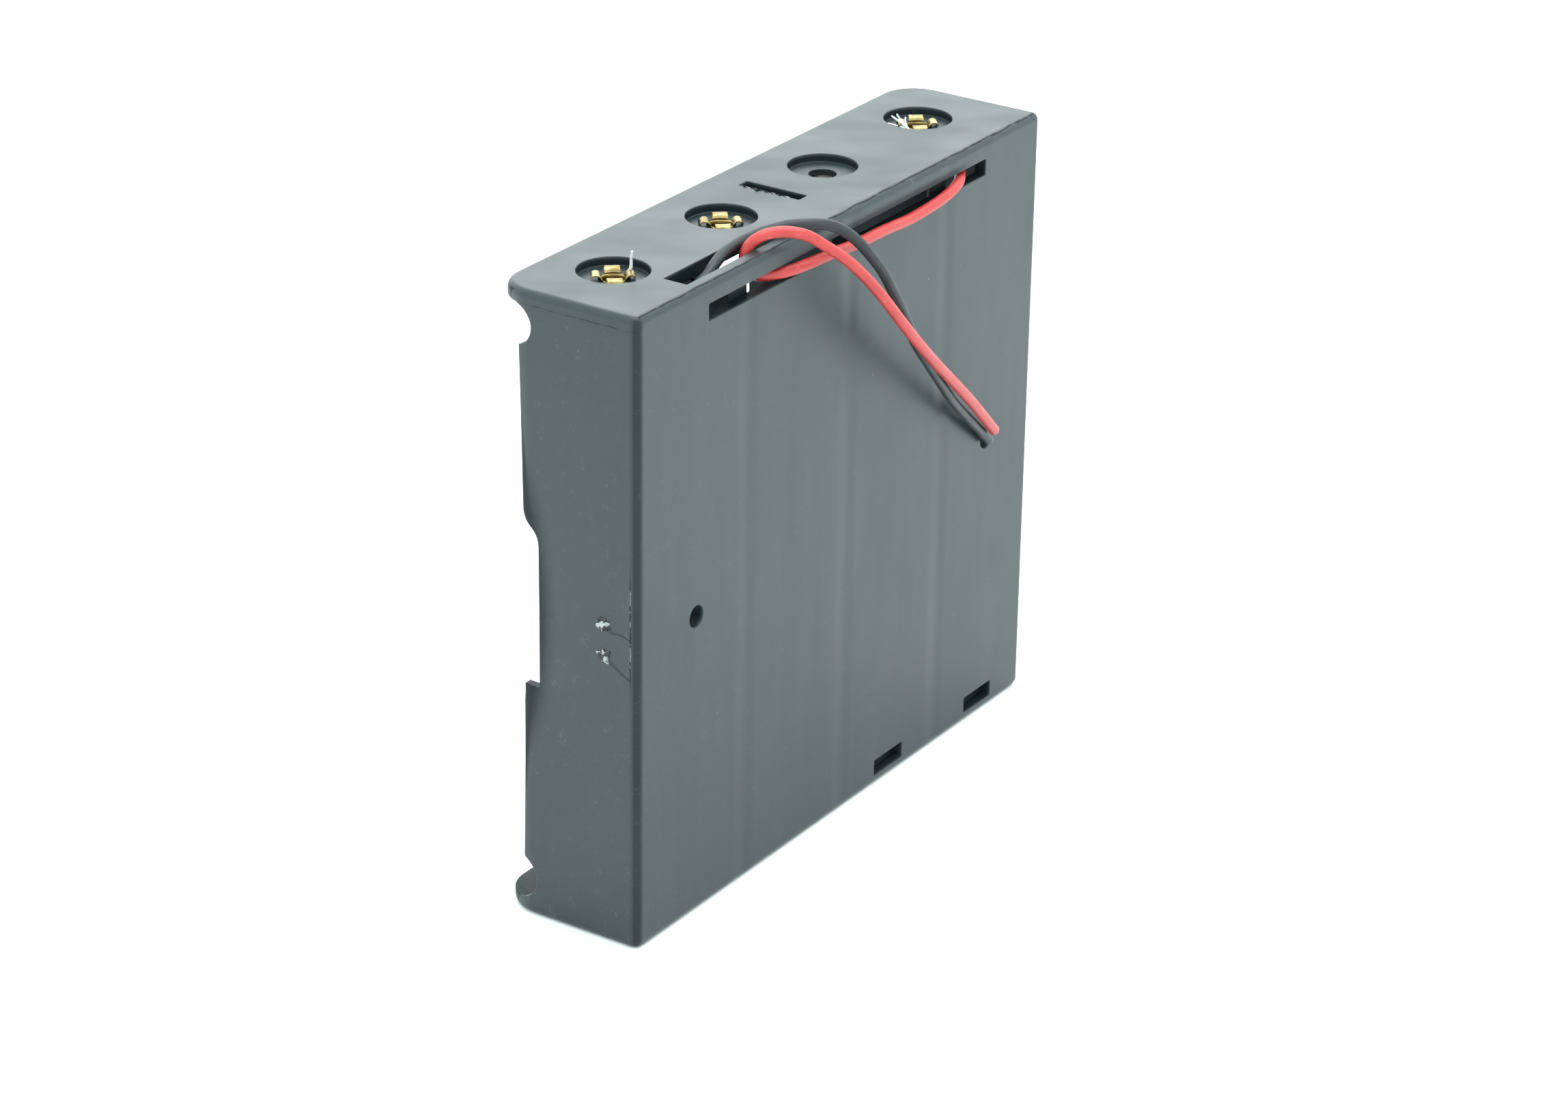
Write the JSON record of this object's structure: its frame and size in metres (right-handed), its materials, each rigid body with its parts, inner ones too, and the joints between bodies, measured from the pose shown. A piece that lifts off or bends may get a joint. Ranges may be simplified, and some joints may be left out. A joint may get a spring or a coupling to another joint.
{
  "type": "cylindrical cell battery holder",
  "caption": "Open-fronted plastic battery holder with side-by-side bays, conical spring contacts, brass eyelets and a red and a black flying lead.",
  "frame": {"origin": "middle of the outer face of the plain (bottom) end wall, halfway through the housing's depth", "axes": "+X across the cells towards cell 1, +Y out of the closed mounting back, +Z along the cells towards the end where the leads leave"},
  "size_m": [0.0834, 0.0265, 0.0782],
  "materials": {
    "housing_plastic": "satin moulded black plastic",
    "plated_steel": "nickel-plated sheet",
    "eyelet_brass": "bright rolled brass",
    "spring_steel": "nickel-plated wire",
    "black_insulation": "soft extruded insulation",
    "red_insulation": "soft extruded insulation",
    "tinned_copper": "tinned wire"
  },
  "bodies": {
    "holder": {"housing": "housing_plastic", "negative_terminal_plate": "plated_steel", "positive_terminal_plate": "plated_steel", "top_bridge_plate": "plated_steel", "bottom_bridge_plate_1_2": "plated_steel", "bottom_bridge_plate_3_4": "plated_steel", "negative_terminal_eyelet": "eyelet_brass", "positive_terminal_eyelet": "eyelet_brass", "top_bridge_eyelet": "eyelet_brass", "bottom_bridge_eyelet_1_2": "eyelet_brass", "bottom_bridge_eyelet_3_4": "eyelet_brass", "cell_1_spring": "spring_steel", "cell_2_spring": "spring_steel", "cell_3_spring": "spring_steel", "cell_4_spring": "spring_steel", "black_lead": "black_insulation", "red_lead": "red_insulation", "black_lead_bare_strands": "tinned_copper", "red_lead_bare_strands": "tinned_copper"},
    "cell_1_contact": {"cell_1_spring_end": "spring_steel"},
    "cell_2_contact": {"cell_2_spring_end": "spring_steel"},
    "cell_3_contact": {"cell_3_spring_end": "spring_steel"},
    "cell_4_contact": {"cell_4_spring_end": "spring_steel"}
  },
  "joints": [
    {"name": "cell_1_spring_press", "type": "slide", "parent": "holder", "child": "cell_1_contact", "axis": [0, 0, 1], "range_m": [0, 0.0055], "stiffness_N_per_m": 400, "deforming": ["cell_1_spring"]},
    {"name": "cell_2_spring_press", "type": "slide", "parent": "holder", "child": "cell_2_contact", "axis": [0, 0, -1], "range_m": [0, 0.0055], "stiffness_N_per_m": 400, "deforming": ["cell_2_spring"]},
    {"name": "cell_3_spring_press", "type": "slide", "parent": "holder", "child": "cell_3_contact", "axis": [0, 0, 1], "range_m": [0, 0.0055], "stiffness_N_per_m": 400, "deforming": ["cell_3_spring"]},
    {"name": "cell_4_spring_press", "type": "slide", "parent": "holder", "child": "cell_4_contact", "axis": [0, 0, -1], "range_m": [0, 0.0055], "stiffness_N_per_m": 400, "deforming": ["cell_4_spring"]}
  ]
}
